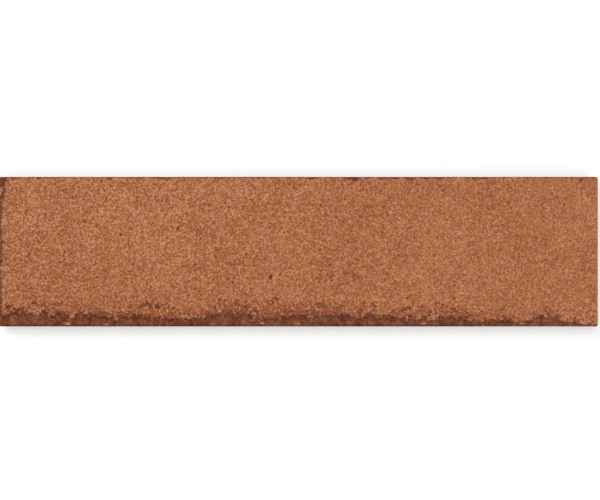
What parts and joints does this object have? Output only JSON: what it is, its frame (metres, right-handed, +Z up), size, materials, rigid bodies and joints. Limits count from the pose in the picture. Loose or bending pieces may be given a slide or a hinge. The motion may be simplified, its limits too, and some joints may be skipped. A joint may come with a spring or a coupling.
{
  "type": "floor tile",
  "caption": "Long narrow brick-look stoneware floor tile with a worn, broken front edge, a chipped corner and a keyed back for bedding in adhesive.",
  "frame": {"origin": "middle of the back, on the plane of the ribs that the tile rests on", "axes": "+X along the tile, +Y across it from the worn front edge to the back edge, +Z up out of the face"},
  "size_m": [0.28, 0.07, 0.01],
  "materials": {
    "fired_clay": "matt, sandy terracotta face with dark worn edges"
  },
  "bodies": {
    "root": {"floor_tile": "fired_clay"}
  },
  "joints": []
}
